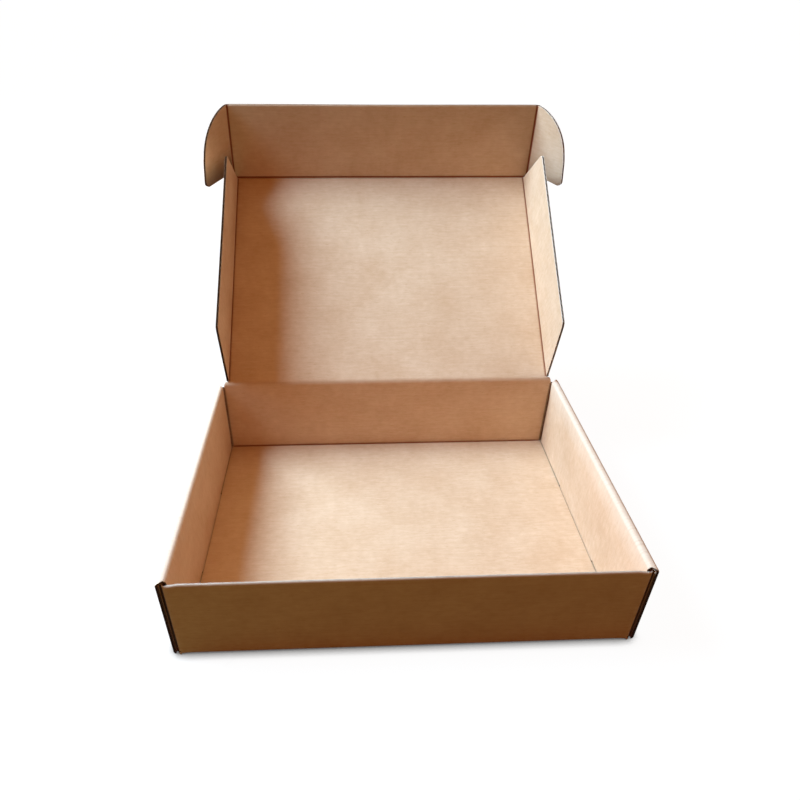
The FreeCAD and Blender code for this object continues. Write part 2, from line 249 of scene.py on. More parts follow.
class FoldLine:
    """Middle of the board seen end on: straight runs with a round fold at each corner."""

    def __init__(self, points, radius):
        points = np.array(points, float)
        runs = np.diff(points, axis=0)
        lengths = np.hypot(runs[:, 0], runs[:, 1])
        headings = np.arctan2(runs[:, 1], runs[:, 0])
        turns = (np.diff(headings) + math.pi) % (2 * math.pi) - math.pi
        tangents = radius * np.tan(np.abs(turns) / 2)
        lengths[:-1] -= tangents
        lengths[1:] -= tangents
        self.parts, self.folds, self.stops = [], [], [0.0]
        place, start = points[0], 0.0
        for index, length in enumerate(lengths):
            heading = headings[index]
            self.parts.append((start, place, heading, 0.0))
            place = place + length * np.array([math.cos(heading), math.sin(heading)])
            start += length
            if index == len(turns):
                break
            turn = turns[index]
            bend = math.copysign(1 / radius, turn)
            self.parts.append((start, place, heading, bend))
            arc = radius * abs(turn)
            self.folds.append(start + arc / 2)
            count = 2 + round(3 * abs(turn) / QUARTER_TURN)
            self.stops += list(start + arc * np.linspace(0, 1, count))
            place = place + np.array([math.sin(heading + turn) - math.sin(heading),
                                      math.cos(heading) - math.cos(heading + turn)]) / bend
            start += arc
        self.length = start

    def at(self, along, height):
        """Points at these lengths along the line and heights to the left of it."""
        first, second = np.zeros_like(along), np.zeros_like(along)
        for start, place, heading, bend in self.parts:
            here = along >= start - 1e-9
            run = along - start
            angle = heading + bend * run
            if bend:
                ahead = (np.sin(angle) - math.sin(heading)) / bend
                aside = (math.cos(heading) - np.cos(angle)) / bend
            else:
                ahead, aside = run * math.cos(heading), run * math.sin(heading)
            first = np.where(here, place[0] + ahead - height * np.sin(angle), first)
            second = np.where(here, place[1] + aside + height * np.cos(angle), second)
        return first, second


def flat(origin, along_a, along_b):
    """Places on a flat panel, from its blank coordinates."""
    normal = np.cross(along_a, along_b)

    def place(a, b, w):
        return origin + a[..., None] * along_a + b[..., None] * along_b + w[..., None] * normal
    return place


def row_places(low, high, step, stops):
    """Rows from low to high: each stop, and the ticks of the flutes that are clear of them."""
    kept = np.array([low, high] + [stop for stop in stops if low < stop < high])
    kept = np.unique(np.round(kept, 7))
    ticks = np.arange(math.ceil(low / step), math.floor(high / step) + 1) * step
    ticks = ticks[np.abs(ticks[:, None] - kept).min(1) > 0.25 * step]
    return np.sort(np.concatenate([kept, ticks[(ticks > low) & (ticks < high)]]))


def spread(low, high, count, cut_low, cut_high):
    """Columns from low to high in each row, close together beside a cut edge."""
    width = (high - low)[:, None]
    squeeze = np.minimum(1, width / (4 * CUT_STEPS[-1]))
    left = low[:, None] + squeeze * (CUT_STEPS if cut_low else CUT_STEPS[:1])
    right = high[:, None] - squeeze * (CUT_STEPS if cut_high else CUT_STEPS[:1])[::-1]
    shares = np.linspace(0, 1, count + 2)[1:-1]
    middle = left[:, -1:] + shares * (right[:, :1] - left[:, -1:])
    return np.concatenate([left, middle, right], axis=1)


def closed(middles):
    """Border along a crease where two pieces meet: shut, but neither frayed nor crushed."""
    return np.full(len(middles), True)


ALL_CLOSED = {"a_low": closed, "a_high": closed, "b_low": closed, "b_high": closed}
BOTH_SIDES = {"a_low": True, "a_high": True}
BOTH_ENDS = {"b_low": True, "b_high": True}


class Patch:
    """A stretch of board between two edges along b, with how it lies and what cuts or folds it."""

    def __init__(self, place, rows, low, high, cuts, stops=None, row_stops=(), columns=12,
                 fold=None, bow=None, wear=None, shade=None, pinch=0.0):
        self.place, self.rows, self.cuts = place, rows, cuts
        self.low, self.high = low, high
        self.stops, self.row_stops, self.columns = stops, list(row_stops), columns
        self.fold, self.bow, self.wear, self.shade, self.pinch = fold, bow, wear, shade, pinch
        for edge, away in (("b_low", 1), ("b_high", -1)):
            if cuts.get(edge) is True:
                self.row_stops += list(rows[away < 0] + away * CUT_STEPS[1:])

    def grid(self, step, columns):
        """Blank coordinates of the patch's grid, nearness to a cut edge, and how far it is pinched."""
        b = row_places(*self.rows, step, self.row_stops)
        low = self.low(b) if callable(self.low) else np.full_like(b, self.low)
        high = self.high(b) if callable(self.high) else np.full_like(b, self.high)
        if self.stops is None:
            a = spread(low, high, columns, *(self.cuts.get(edge) is True
                                             for edge in ("a_low", "a_high")))
        else:
            share = (self.stops - self.stops[0]) / (self.stops[-1] - self.stops[0])
            a = low[:, None] + share * (high - low)[:, None]
        sides = ends = np.ones_like(a)
        for edge, line, away in (("a_low", low, 1), ("a_high", high, -1)):
            if self.cuts.get(edge) is True:
                lean = np.sqrt(1 + np.gradient(line, b) ** 2)[:, None]
                sides = np.minimum(sides, away * (a - line[:, None]) / lean)
        for edge, line, away in (("b_low", b[0], 1), ("b_high", b[-1], -1)):
            if self.cuts.get(edge) is True:
                ends = np.minimum(ends, away * (b - line)[:, None])
        b = np.repeat(b[:, None], a.shape[1], axis=1)
        nearness = np.clip(1 - np.minimum(sides, ends) / CUT_REACH, 0, 1)
        return a, b, nearness, self.pinch * np.clip(1 - ends / PINCH_REACH, 0, 1) ** 2

    def is_cut(self, edge, middles):
        """Whether the grid's border is cut, at the middle of each of its segments."""
        cut = self.cuts.get(edge, False)
        return cut(middles) if callable(cut) else np.full(len(middles), cut)


def liner_faces(side):
    """Lower and upper face of a liner, as heights over the middle of the board."""
    def faces(b, thickness):
        sag = LINER_SAG * thickness * (1 - side * np.cos(2 * math.pi * b / FLUTE_PITCH)) / 2
        inner = side * ((HALF - LINER) * thickness - sag)
        outer = inner + side * LINER
        return (inner, outer) if side > 0 else (outer, inner)
    return faces


def flute_faces(b, thickness):
    """Lower and upper face of the wavy paper between the liners."""
    height = HALF - LINER - FLUTE_PAPER / 2 - TIP_GAP
    phase = 2 * math.pi * b / FLUTE_PITCH
    slope = height * 2 * math.pi / FLUTE_PITCH * np.sin(phase)
    middle = height * np.cos(phase) * thickness
    half = FLUTE_PAPER / 2 * np.sqrt(1 + slope ** 2) * thickness
    return middle - half, middle + half


# Each paper's faces, row spacing, material number, and side of the board (1 is inside the box).
PAPERS = ((liner_faces(1), LINER_STEP, 0, 1), (liner_faces(-1), LINER_STEP, 0, -1),
          (flute_faces, FLUTE_STEP, 1, 0))


class Sheet:
    """Mesh of one piece of board, gathered from its patches."""

    def __init__(self):
        self.points, self.places, self.tints, self.faces, self.papers = [], [], [], [], []
        self.count = 0

    def add(self, patch):
        """The three papers of a patch."""
        for faces, step, paper, side in PAPERS:
            a, b, cut, pinch = patch.grid(step, patch.columns if side or patch.bow else 2)
            crease = patch.fold(a, b) if patch.fold else np.zeros_like(a)
            crush = np.clip(2 * cut - 1, 0, 1) ** 2
            thickness = (1 - FOLD_CRUSH * crease) * (1 - CUT_CRUSH * crush) * (1 - pinch)
            bow = patch.bow(a, b) if patch.bow else 0
            lower, upper = (bow + height for height in faces(b, thickness))
            # per point: painted highlight above nought, painted shade below it, and the dark floor
            # joint
            wear = patch.wear(a, b) if patch.wear else np.zeros_like(a)
            # the ear's lower tip gets painted shade on its inner face
            if patch.shade and side > 0:
                wear = wear - patch.shade(b)
            tints = np.stack([cut, side * crease, wear]).reshape(3, -1)
            self.add_slab(patch, a, b, lower, upper, tints, paper, side)

    def add_slab(self, patch, a, b, lower, upper, tints, paper, side):
        """One paper: an upper and a lower face, closed along the cut edges."""
        rows, columns = a.shape
        upper_at = self.count + np.arange(rows * columns).reshape(rows, columns)
        lower_at = upper_at + rows * columns
        for height in (upper, lower):
            self.points.append(patch.place(a, b, height).reshape(-1, 3))
            self.places.append(np.stack([a, b], axis=-1).reshape(-1, 2))
            self.tints.append(tints)
        self.count += 2 * rows * columns
        quads = [around(upper_at), around(lower_at)[:, ::-1]]
        # the liners' faces towards the flutes take the dark fluted paper, as painted shade inside the
        # board
        papers = [np.full(len(quads[0]), 1 if side < 0 else paper),
                  np.full(len(quads[1]), 1 if side > 0 else paper)]
        for edge, line_up, line_low, line_at in (
                ("b_low", upper_at[0], lower_at[0], a[0]),
                ("b_high", lower_at[-1], upper_at[-1], a[-1]),
                ("a_low", lower_at[:, 0], upper_at[:, 0], b[:, 0]),
                ("a_high", upper_at[:, -1], lower_at[:, -1], b[:, -1])):
            rim = np.stack([line_low[:-1], line_low[1:], line_up[1:], line_up[:-1]], axis=1)
            quads.append(rim[patch.is_cut(edge, (line_at[:-1] + line_at[1:]) / 2)])
            # cut edges take the dark fluted paper, partly as painted shade
            rim_paper = paper if patch.cuts.get(edge) is closed else 1
            papers.append(np.full(len(quads[-1]), rim_paper))
        quads = np.concatenate(quads)
        if self.is_mirrored(patch, a, b):
            quads = quads[:, ::-1]
        self.faces.append(quads)
        self.papers.append(np.concatenate(papers))

    @staticmethod
    def is_mirrored(patch, a, b):
        """Whether the patch's a, b and w make a left-handed set where it lies."""
        row, column = a.shape[0] // 2, a.shape[1] // 2
        here = np.array([[a[row, column]], [b[row, column]], [0.0]])
        steps = [patch.place(*(here + 1e-5 * step[:, None])) - patch.place(*here)
                 for step in np.eye(3)]
        return np.linalg.det(np.concatenate(steps)) < 0

    def build(self, name, materials):
        """The finished object, with shared borders welded and cut edges kept sharp."""
        points, faces = np.concatenate(self.points), np.concatenate(self.faces)
        mesh = bpy.data.meshes.new(name)
        mesh.from_pydata(points.tolist(), [], faces.tolist())
        self.fill_layers(mesh)
        work = bmesh.new()
        work.from_mesh(mesh)
        bmesh.ops.remove_doubles(work, verts=work.verts, dist=WELD)
        work.to_mesh(mesh)
        work.free()
        for material in materials:
            mesh.materials.append(material)
        mesh.polygons.foreach_set("use_smooth", np.ones(len(mesh.polygons), bool))
        mesh.set_sharp_from_angle(angle=SHARP_ANGLE)
        piece = add_object(name, mesh)
        return piece

    def fill_layers(self, mesh):
        """Stores what the material reads: places on the blank, tints and which paper it is."""
        for title, values in zip(("cut", "crease", "wear"), np.concatenate(self.tints, axis=1)):
            attribute = mesh.attributes.new(title, "FLOAT", "POINT")
            attribute.data.foreach_set("value", values.astype(np.float32))
        corners = np.zeros(len(mesh.loops), np.int32)
        mesh.loops.foreach_get("vertex_index", corners)
        places = np.concatenate(self.places)[corners] * UV_SCALE
        layer = mesh.uv_layers.new(name="blank")
        layer.data.foreach_set("uv", places.astype(np.float32).ravel())
        mesh.polygons.foreach_set("material_index", np.concatenate(self.papers).astype(np.int32))


def around(index):
    """Quads between neighbouring rows and columns of a grid of point numbers."""
    return np.stack([index[:-1, :-1], index[:-1, 1:], index[1:, 1:], index[1:, :-1]],
                    axis=-1).reshape(-1, 4)


def make_piece(name, patches):
    """One object of board, from its patches."""
    sheet = Sheet()
    for patch in patches:
        sheet.add(patch)
    return sheet.build(name, PAPER_MATERIALS)


def make_panel(node, patches):
    """A rigid panel that stands for its CAD node and rides with it."""
    piece = make_piece(node + "_board", patches)
    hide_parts(node)
    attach(piece, node)


# ---- materials
class Nodes:
    """Short way to write a material's or world's node tree."""

    def __init__(self, owner):
        owner.use_nodes = True
        self.tree = owner.node_tree
        self.tree.nodes.clear()

    def fill(self, socket, value):
        """Sets one input, or links it if the value is another node's output."""
        if isinstance(value, bpy.types.NodeSocket):
            self.tree.links.new(value, socket)
        else:
            socket.default_value = value

    def add(self, kind, settings=None, **inputs):
        """A node with its settings, and its inputs set or linked by name."""
        node = self.tree.nodes.new("ShaderNode" + kind)
        for name, value in (settings or {}).items():
            setattr(node, name, value)
        for name, value in inputs.items():
            self.fill(node.inputs[name.replace("_", " ")], value)
        return node

    def math(self, operation, first, second=0.5):
        """One operation on two values."""
        node = self.add("Math", {"operation": operation})
        self.fill(node.inputs[0], first)
        self.fill(node.inputs[1], second)
        return node.outputs[0]

    def plus(self, first, second):
        """Sum of two values."""
        return self.math("ADD", first, second)

    def times(self, first, second):
        """Product of two values."""
        return self.math("MULTIPLY", first, second)

    def remap(self, value, low, high, to_low, to_high):
        """The value's range stretched onto another, and held inside it."""
        node = self.add("MapRange", Value=value, From_Min=low, From_Max=high,
                        To_Min=to_low, To_Max=to_high)
        return node.outputs["Result"]

    def mix(self, share, first, second):
        """A colour between two others."""
        node = self.add("Mix", {"data_type": "RGBA"})
        for index, value in ((0, share), (6, first), (7, second)):
            self.fill(node.inputs[index], value)
        return node.outputs[2]

    def noise(self, vector, scale, detail=2.0, roughness=0.5):
        """Cloudy pattern from nought to one."""
        node = self.add("TexNoise", Vector=vector, Scale=scale, Detail=detail,
                        Roughness=roughness)
        return node.outputs["Fac"]

    def attribute(self, name):
        """A value stored on the mesh's points."""
        return self.add("Attribute", {"attribute_name": name}).outputs["Fac"]

    def join(self, kind, first, second, **inputs):
        """Two shaders mixed or added."""
        node = self.add(kind, **inputs)
        for index, shader in ((-2, first), (-1, second)):
            self.fill(node.inputs[index], shader.outputs[0])
        return node

    def seen_directly(self):
        """One for rays from the camera, or by way of a mirror or glass."""
        path = self.add("LightPath")
        seen = self.math("MAXIMUM", path.outputs["Is Camera Ray"], path.outputs["Is Glossy Ray"])
        return self.math("MAXIMUM", seen, path.outputs["Is Transmission Ray"])


def srgb(red, green, blue):
    """Linear colour of an eight-bit sRGB one."""
    linear = []
    for value in (red, green, blue):
        share = value / 255
        linear.append(share / 12.92 if share <= 0.04045 else ((share + 0.055) / 1.055) ** 2.4)
    return (*linear, 1.0)


def board_tone(nodes, place, streak):
    """Mottle from nought to one, of blotches, clouds and streaks."""
    blotch = nodes.noise(place, 2.6, detail=3.0, roughness=0.55)
    cloud = nodes.noise(place, 14.0, detail=3.0, roughness=0.6)
    tone = nodes.plus(nodes.times(blotch, 0.4), nodes.times(cloud, 0.25))
    tone = nodes.plus(tone, nodes.times(streak, 0.35))
    return nodes.remap(tone, 0.36, 0.64, 0.0, 1.0), cloud


def frayed_with_painted_light(nodes, colour, streak, pale, score):
    """The colour frayed at cuts, with painted highlight on lit rims, tops and edges, painted shade in
    the creases and gaps, and dark joints.
    """
    patchy = nodes.remap(streak, 0.35, 0.6, 0.3, 1.0)
    fray = nodes.times(nodes.remap(nodes.attribute("cut"), 0.75, 1.0, 0.0, 0.3), patchy)
    wear = nodes.attribute("wear")
    # painted highlight where the tone is above nought
    highlight = nodes.times(nodes.remap(wear, 0.0, 1.0, 0.0, 1.0),
                     nodes.remap(streak, 0.3, 0.55, 0.6, 1.0))
    colour = nodes.mix(fray, colour, pale)
    colour = nodes.mix(highlight, colour, PAINTED_HIGHLIGHT)
    # painted shade in the grooves on the inside of the folds
    colour = nodes.mix(nodes.remap(nodes.attribute("crease"), 0.05, 0.42, 0.0, 0.9), colour, score)
    # painted shade, and the dark floor joint, where the tone is below nought
    return nodes.mix(nodes.remap(wear, -1.0, 0.0, 1.0, 0.0), colour, PAINTED_SHADE_AND_JOINT)


def kraft_paper(name, base, deep, pale, score, washboard):
    """Uncoated kraft paper: streaks and flecks along the flutes, and faint lines over them."""
    material = bpy.data.materials.new(name)
    nodes = Nodes(material)
    place = nodes.add("UVMap", {"uv_map": "blank"}).outputs["UV"]
    fibres = nodes.add("Mapping", Vector=place, Scale=(55.0, 12.0, 1.0)).outputs[0]
    ribs = nodes.add("Mapping", Vector=place, Scale=(9.0, 52.0, 1.0)).outputs[0]
    streak = nodes.noise(ribs, 1.0, detail=4.0, roughness=0.65)
    grain = nodes.noise(fibres, 6.0, detail=2.0, roughness=0.6)
    tone, cloud = board_tone(nodes, place, streak)
    colour = nodes.mix(tone, deep, base)
    colour = nodes.mix(nodes.remap(grain, 0.35, 0.75, 0.0, 0.16), colour, pale)
    flecks = nodes.remap(nodes.noise(ribs, 1.7, detail=1.0), 0.66, 0.76, 0.0, 0.8)
    colour = nodes.mix(flecks, colour, deep)
    row = nodes.add("SeparateXYZ", Vector=place).outputs["Y"]
    wave = nodes.math("SINE", nodes.times(row, 2 * math.pi / (FLUTE_PITCH * UV_SCALE)))
    lines = nodes.times(nodes.remap(wave, 0.2, 1.0, 0.0, washboard), cloud)
    colour = frayed_with_painted_light(nodes, nodes.mix(lines, colour, deep), streak, pale, score)
    relief = nodes.plus(nodes.times(streak, 0.6), nodes.times(grain, 0.4))
    bumps = nodes.add("Bump", Strength=0.35, Distance=0.00012, Height=relief)
    roughness = nodes.remap(streak, 0.3, 0.7, 0.84, 0.96)
    shader = nodes.add("BsdfPrincipled", Base_Color=colour, Normal=bumps.outputs[0],
                       Roughness=roughness, Specular_IOR_Level=0.25)
    nodes.add("OutputMaterial", Surface=shader.outputs[0])
    return material


PAINTED_HIGHLIGHT = srgb(238, 222, 204)     # painted highlight on lit rims, tops and edges
PAINTED_SHADE_AND_JOINT = srgb(56, 20, 7)          # painted shade in gaps, corners and on shaded edges, and the dark floor joint


def make_materials():
    """Kraft liner, and the browner fluted paper seen in the cut edges, darkened further as painted
    shade inside the board.
    """
    liner = kraft_paper("kraft_liner", srgb(228, 195, 162), srgb(208, 168, 130),
                        srgb(246, 232, 214), srgb(138, 64, 28), washboard=0.2)
    flute = kraft_paper("kraft_flute", srgb(104, 71, 46), srgb(76, 48, 29),
                        srgb(150, 112, 80), srgb(60, 34, 18), washboard=0.0)
    return liner, flute


PAPER_MATERIALS = make_materials()


# ---- tray
SIDE_LINE = FoldLine([(FLOOR_X, HALF), (WALL_X, HALF), (WALL_X, TRAY_HEIGHT - HALF),
                      (PANEL_X, TRAY_HEIGHT - HALF), (PANEL_X, FOOT)], FOLD_RADIUS)
END_LINE = FoldLine([(FLOOR_Y, HALF), (WALL_Y, HALF), (WALL_Y, TRAY_HEIGHT)], FOLD_RADIUS)
FLAP_LINE = FoldLine([(WALL_FLAT, -WALL_Y), (FLAP_X - CORNER_INSET, -WALL_Y),
                      (FLAP_X, -WALL_Y + 2.4 * CORNER_INSET), (FLAP_X, FLAP_LENGTH - HALF_DEPTH)],
                     FLAP_RADIUS)
WALL_FOOT = HALF + FOLD_RADIUS   # where a wall's flat part starts
FRONT_RISE = FOLD_ARC + TRAY_HEIGHT - FRONT_DROP - WALL_FOOT
BACK_RISE = FOLD_ARC + HINGE[2] - HINGE_STRIP - WALL_FOOT
FLAP_RISE = FOLD_ARC + FLAP_FOOT - WALL_FOOT
RIM_START = SIDE_LINE.folds[1] - FOLD_ARC / 2
RIM_END = SIDE_LINE.folds[2] + FOLD_ARC / 2
MITRE_NEAR = RIM_END - 2.2 * MM
MITRE_FAR = RIM_START + 2.4 * MM


def tray_fold(a, b):
    """How near a point of the tray's blank is to a scored fold, from nought to one."""
    a, b = np.abs(a), np.abs(b)
    end_fold = bump(b - FLOOR_Y - END_LINE.folds[0], FOLD_REACH) * ramp(a, WALL_FLAT - MM,
                                                                         WALL_FLAT - 6 * MM)
    side_fold = sum(bump(a - FLOOR_X - fold, FOLD_REACH) for fold in SIDE_LINE.folds)
    side_fold = side_fold * (b < SIDE_END + PLY_GAP)
    flap_fold = bump(a - WALL_FLAT - FLAP_LINE.folds[0], FOLD_REACH) * ramp(
        b, FLOOR_Y + 3 * MM, FLOOR_Y + 6 * MM)
    return np.clip(np.maximum(np.maximum(end_fold, side_fold), flap_fold), 0, 1)


def side_painted_light(a, b):
    """Painted highlight on the rims; painted shade on the walls' ends in the gaps at the corners."""
    out, end = np.abs(a) - FLOOR_X, np.abs(b)
    rim = ramp(out, RIM_START - 2.5 * MM, RIM_START + MM) * ramp(out, RIM_END + MM, RIM_END - MM)
    outer_end = ramp(end, SIDE_END - 0.9 * MM, SIDE_END - 0.35 * MM) * (out < RIM_START)
    inner_end = ramp(end, FLOOR_Y - 2.4 * MM, FLOOR_Y - 0.4 * MM) * ramp(out, RIM_END + MM,
                                                                         RIM_END + 6 * MM)
    return RIM_PAINTED_HIGHLIGHT * rim + OUTER_END_PAINTED_SHADE * outer_end + INNER_END_PAINTED_SHADE * inner_end


def floor_wear(a, b):
    """Dark joint beside the inner panels."""
    return JOINT_TONE * ramp(np.abs(a), SEAM, SLOT_IN)


def top_highlight_reach(b):
    """How near a point is to the pressed top of the front wall or of a corner flap, where the painted
    highlight lies.
    """
    return ramp(np.abs(b) - FLOOR_Y, FRONT_RISE - 1.2 * MM, FRONT_RISE - 0.3 * MM)


def end_painted_light(a, b):
    """Painted highlight on the front wall's top edge; painted shade in the back wall's corners."""
    corner = ramp(np.abs(a), CORNER_DARK, SEAM) * (b > FLOOR_Y)
    return TOP_PAINTED_HIGHLIGHT * top_highlight_reach(b) * (b < 0) + BACK_CORNER_PAINTED_SHADE * corner


def flap_painted_light(a, b):
    """Corner flaps with painted highlight along the top, and painted shade past their folds in the gap
    inside the side wall.
    """
    top = top_highlight_reach(b)
    return TOP_PAINTED_HIGHLIGHT * top + GAP_PAINTED_SHADE * (1 - top) * ramp(np.abs(a) - WALL_FLAT, 0.7 * MM, 1.0 * MM)


def tray_bow(a, b):
    """The inner side panels and the floor stand a little proud, towards the tray's inside."""
    out = np.abs(a) - FLOOR_X
    panel = ramp(out, RIM_END + 2 * MM, RIM_END + 25 * MM) * ramp(
        out, SIDE_LINE.length - 2 * MM, SIDE_LINE.length - 20 * MM)
    panel = panel * (0.5 + 0.25 * np.cos(b * 21 + np.sign(a)) + 0.15 * np.cos(b * 47))
    floor = bump(a, FLOOR_X) * bump(b, FLOOR_Y) * (1 + 0.4 * np.sin(a * 19 + b * 13))
    return (FLOOR_BOW * floor - PANEL_BOW * panel * (out > 0)) * MM


def end_place(side, dip_start):
    """Front (-1) or back (1) wall: the top dips towards its corners."""
    def place(a, b, w):
        rise = np.abs(b) - FLOOR_Y
        dip = end_dip(a, rise, dip_start)
        across, up = END_LINE.at(rise - dip, w)
        return np.stack([a, side * across, up], axis=-1)
    return place


def end_dip(a, rise, dip_start):
    """How far the top of an end wall is drawn down at its corners."""
    depth = FLAP_DROP if dip_start < HINGE_HALF else FLAP_DROP + BACK_RISE - FRONT_RISE
    return depth * ramp(np.abs(a), dip_start, WALL_FLAT) * ramp(rise, 0.7 * FRONT_RISE, FRONT_RISE)


def flap_place(side_x, side_y, dip_start):
    """Corner flap turned back from an end wall, inside the side wall."""
    def place(a, b, w):
        across, back = FLAP_LINE.at(np.abs(a) - WALL_FLAT, w)
        rise = np.abs(b) - FLOOR_Y
        up = WALL_FOOT + rise - FOLD_ARC - end_dip(a, rise, dip_start)
        return np.stack([side_x * across, -side_y * back, up], axis=-1)
    return place


def side_place(side):
    """Left (-1) or right (1) wall: up, over and down again inside."""
    def place(a, b, w):
        out = np.abs(a) - FLOOR_X
        across, up = SIDE_LINE.at(out, w)
        shorter = 1 - PANEL_SETBACK / FLOOR_Y * ramp(out, RIM_END - 0.5 * MM, RIM_END + 2 * MM)
        return np.stack([side * across, b * shorter, up], axis=-1)
    return place


def signed(side, low, high):
    """A range of distances on the left (-1) or right (1), in rising order."""
    return (low, high) if side > 0 else (-high, -low)


def signed_stops(side, stops):
    """Stops at these distances on one side, in rising order."""
    return np.sort(side * np.unique(np.round(stops, 7)))


def edge_names(side, direction="a"):
    """The edge nearer the middle of the box in this direction, and the one further out."""
    names = (direction + "_low", direction + "_high")
    return names if side > 0 else names[::-1]


def add_floor(tray):
    """Floor, with a slot for each lock tab."""
    lie_flat = flat(np.array([0, 0, HALF]), X_AXIS, np.array([0, 1.0, 0]))
    common = {"fold": tray_fold, "bow": tray_bow, "wear": floor_wear, "row_stops": SLOT_ROWS}
    stops = np.concatenate([[-SLOT_IN, -SEAM, -CORNER_DARK], FLOOR_COLUMNS,
                            [CORNER_DARK, SEAM, SLOT_IN]])
    in_slot = lambda b: np.abs(b) < HALF_SLOT
    past_wall = lambda a: np.abs(a) > WALL_FLAT
    tray.append(Patch(lie_flat, (-FLOOR_Y, FLOOR_Y), -SLOT_IN, SLOT_IN,
                      {"a_low": in_slot, "a_high": in_slot}, stops, **common))
    for side in SIDES:
        low, high = signed(side, SLOT_IN, SLOT_OUT)
        stops = signed_stops(side, [SLOT_IN, WALL_FLAT, SLOT_OUT])
        for end in SIDES:
            near, far = edge_names(end, "b")
            tray.append(Patch(lie_flat, signed(end, HALF_SLOT, FLOOR_Y), low, high,
                              {near: True, far: past_wall}, stops, **common))
        low, high = signed(side, SLOT_OUT, FLOOR_X)
        tray.append(Patch(lie_flat, (-FLOOR_Y, FLOOR_Y), low, high,
                          {edge_names(side)[0]: in_slot, **BOTH_ENDS},
                          signed_stops(side, [SLOT_OUT, FLOOR_X]), **common))


def add_side_wall(tray, side):
    """Roll-over side wall with its lock tab."""
    far = edge_names(side)[1]
    stops = np.concatenate([SIDE_LINE.stops, np.linspace(RIM_END, SIDE_LINE.length, 5), [MITRE_NEAR]])
    common = {"fold": tray_fold, "bow": tray_bow, "wear": side_painted_light}
    past_tab = lambda b: np.abs(b) > HALF_TAB
    alone = lambda a: (np.abs(a) - FLOOR_X < WALL_ROOT) | (np.abs(a) - FLOOR_X > MITRE_NEAR)
    length = SIDE_LINE.length
    tray.append(Patch(side_place(side), (-FLOOR_Y, FLOOR_Y),
                      *signed(side, FLOOR_X, FLOOR_X + length),
                      {far: past_tab, "b_low": alone, "b_high": alone},
                      signed_stops(side, FLOOR_X + stops), row_stops=SLOT_ROWS, **common))
    tab_end = length + FOOT - PLY_GAP
    tray.append(Patch(side_place(side), (-HALF_TAB, HALF_TAB),
                      *signed(side, FLOOR_X + length, FLOOR_X + tab_end),
                      {far: True, **BOTH_ENDS}, columns=1, **common))
    add_wall_ends(tray, side, stops, common)


def add_wall_ends(tray, side, stops, common):
    """The outer side wall's ends that pass the end walls, mitred at the rim."""
    near, far = edge_names(side)
    stops = stops[(stops > WALL_ROOT - TOLERANCE) & (stops < MITRE_NEAR + TOLERANCE)]

    def rim(b):
        share = ramp_line(np.abs(b), FLOOR_Y, SIDE_END)
        return side * (FLOOR_X + MITRE_NEAR + (MITRE_FAR - MITRE_NEAR) * share)
    limits = (FLOOR_X + WALL_ROOT, rim) if side > 0 else (rim, -FLOOR_X - WALL_ROOT)
    for end in SIDES:
        tray.append(Patch(side_place(side), signed(end, FLOOR_Y, SIDE_END), *limits,
                          {near: True, far: True, edge_names(end, "b")[1]: True},
                          signed_stops(side, FLOOR_X + stops), **common))


def add_end_wall(tray, side):
    """Front (-1) or back (1) wall, with the corner flaps turned back from it."""
    dip_start = HINGE_HALF if side > 0 else WALL_FLAT - 11 * MM
    rise = BACK_RISE if side > 0 else FRONT_RISE
    top_cut = (lambda a: np.abs(a) > HINGE_HALF) if side > 0 else True
    below_flap = lambda b: np.abs(b) < FLOOR_Y + FLAP_RISE
    corner = np.array([CORNER_DARK, SEAM, SLOT_IN, WALL_FLAT])
    stops = np.concatenate([-corner[::-1], FLOOR_COLUMNS[::2], corner])
    row_stops = side * (FLOOR_Y + np.array(END_LINE.stops + [FLAP_RISE]))
    tray.append(Patch(end_place(side, dip_start), signed(side, FLOOR_Y, FLOOR_Y + rise),
                      -WALL_FLAT, WALL_FLAT, {edge_names(side, "b")[1]: top_cut,
                                              "a_low": below_flap, "a_high": below_flap},
                      stops, row_stops=row_stops, fold=tray_fold, wear=end_painted_light, pinch=0.8))
    for side_x in SIDES:
        add_corner_flap(tray, side_x, side, rise, dip_start)


def add_corner_flap(tray, side_x, side_y, rise, dip_start):
    """Flap turned back inside a side wall, and the tongue of its fold that reaches the floor."""
    place = flap_place(side_x, side_y, dip_start)
    length = FLAP_LINE.length
    stops = np.array(FLAP_LINE.stops + [length / 2, length - CUT_REACH, length])
    low, high = signed(side_x, WALL_FLAT, WALL_FLAT + length)
    tray.append(Patch(place, signed(side_y, FLOOR_Y + FLAP_RISE, FLOOR_Y + rise), low, high,
                      {edge_names(side_x)[1]: True, **BOTH_ENDS},
                      signed_stops(side_x, WALL_FLAT + stops), fold=tray_fold, wear=flap_painted_light,
                      pinch=0.8))
    low, high = signed(side_x, WALL_FLAT, WALL_FLAT + TONGUE)
    foot = FOLD_ARC + TONGUE_FOOT - WALL_FOOT
    stops = np.array([stop for stop in FLAP_LINE.stops if stop < TONGUE] + [TONGUE])
    tray.append(Patch(place, signed(side_y, FLOOR_Y + foot, FLOOR_Y + FLAP_RISE), low, high,
                      ALL_CLOSED, signed_stops(side_x, WALL_FLAT + stops), wear=flap_painted_light))


def make_tray():
    """Tray: floor, two roll-over side walls, front wall, back wall and corner flaps."""
    tray = []
    add_floor(tray)
    for side in SIDES:
        add_side_wall(tray, side)
        add_end_wall(tray, side)
    make_panel("tray", tray)


# ---- lid and flaps
def mirrored(edge):
    """The left edge that mirrors a right one."""
    return lambda b: -edge(b)


def lid_bow(a, b):
    """Slight dish of the lid, nought at its folds."""
    along = b - BLANK_HINGE
    dish = bump(a, DUST_LINE) * bump(along - LID_LENGTH / 2, LID_LENGTH / 2 - HINGE_STRIP)
    return -LID_BOW * dish * (1 + 0.3 * np.sin(a * 23 + along * 17))


